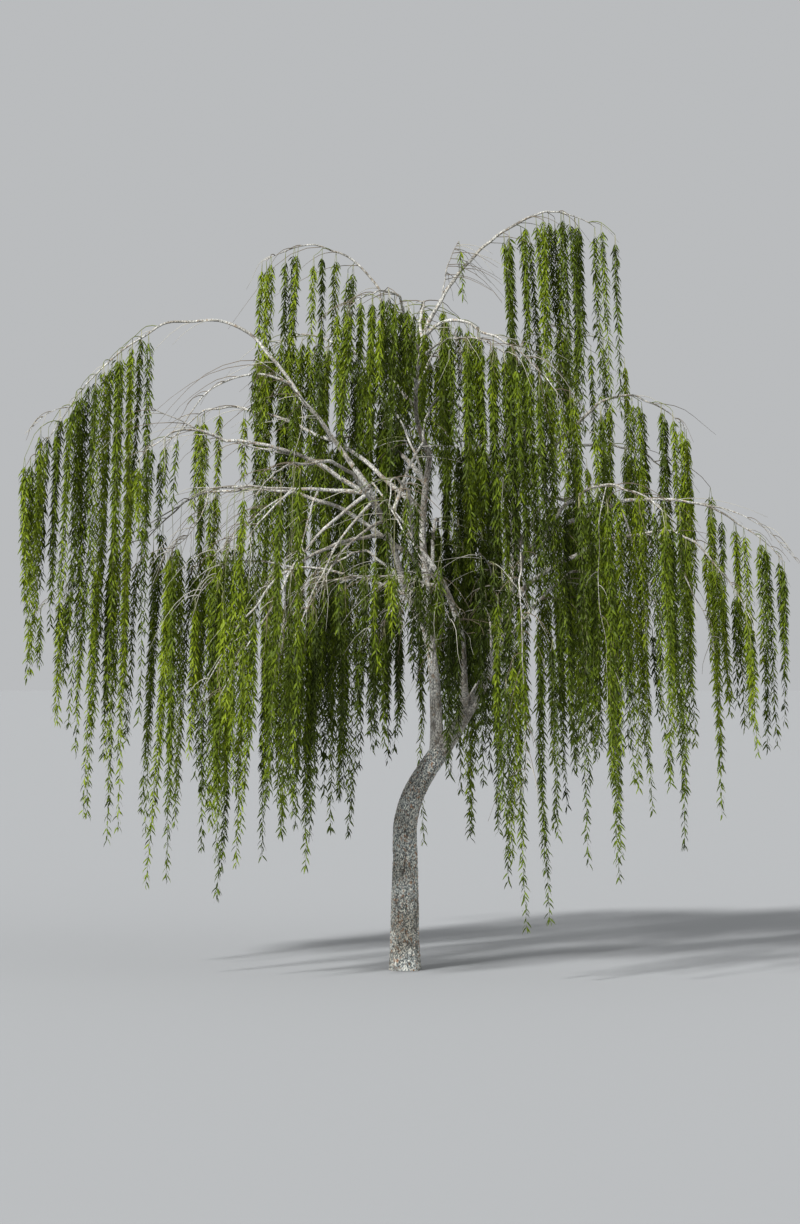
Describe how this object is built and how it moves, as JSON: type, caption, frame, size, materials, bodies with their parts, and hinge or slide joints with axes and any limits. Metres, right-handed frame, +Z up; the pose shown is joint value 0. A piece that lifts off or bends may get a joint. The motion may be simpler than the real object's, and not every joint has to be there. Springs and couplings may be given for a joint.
{
  "type": "willow tree",
  "caption": "Weeping willow tree: a leaning trunk that forks into leaders and arching boughs, with long curtains of narrow leaves that hang from them almost to the ground.",
  "frame": {"origin": "centre of the flat cut under the trunk, at ground level", "axes": "+Z up along the foot of the trunk, +X to the right and -Y to the front as the picture shows the tree"},
  "size_m": [9.1208, 7.2527, 8.9743],
  "materials": {
    "trunk_bark": "rough silver-grey bark with fine fissures",
    "limb_bark": "smoother pale grey bark",
    "foliage": "yellow-green leaves with a soft sheen"
  },
  "bodies": {
    "root": {"bough_back": "limb_bark", "bough_back_left": "limb_bark", "bough_back_right": "limb_bark", "bough_far_right": "limb_bark", "bough_front": "limb_bark", "bough_front_left": "limb_bark", "bough_front_right": "limb_bark", "bough_inner_back": "limb_bark", "bough_inner_left": "limb_bark", "bough_inner_right": "limb_bark", "bough_left_back": "limb_bark", "bough_left_front": "limb_bark", "bough_left_middle": "limb_bark", "bough_left_shoulder": "limb_bark", "bough_low_left": "limb_bark", "bough_low_right": "limb_bark", "bough_right_back": "limb_bark", "bough_right_front": "limb_bark", "bough_right_shoulder": "limb_bark", "bough_top_back": "limb_bark", "bough_top_far_left": "limb_bark", "bough_top_far_right": "limb_bark", "bough_top_front": "limb_bark", "bough_top_left": "limb_bark", "bough_top_middle": "limb_bark", "bough_top_right": "limb_bark", "foliage_back": "foliage", "foliage_back_left": "foliage", "foliage_back_right": "foliage", "foliage_far_right": "foliage", "foliage_front": "foliage", "foliage_front_left": "foliage", "foliage_front_right": "foliage", "foliage_inner_back": "foliage", "foliage_inner_left": "foliage", "foliage_inner_right": "foliage", "foliage_left_back": "foliage", "foliage_left_front": "foliage", "foliage_left_middle": "foliage", "foliage_left_shoulder": "foliage", "foliage_low_left": "foliage", "foliage_low_right": "foliage", "foliage_right_back": "foliage", "foliage_right_front": "foliage", "foliage_right_shoulder": "foliage", "foliage_top_back": "foliage", "foliage_top_far_left": "foliage", "foliage_top_far_right": "foliage", "foliage_top_front": "foliage", "foliage_top_left": "foliage", "foliage_top_middle": "foliage", "foliage_top_right": "foliage", "front_leader": "limb_bark", "left_leader": "limb_bark", "right_leader": "limb_bark", "trunk": "trunk_bark", "upper_leader": "limb_bark", "west_leader": "limb_bark"}
  },
  "joints": []
}
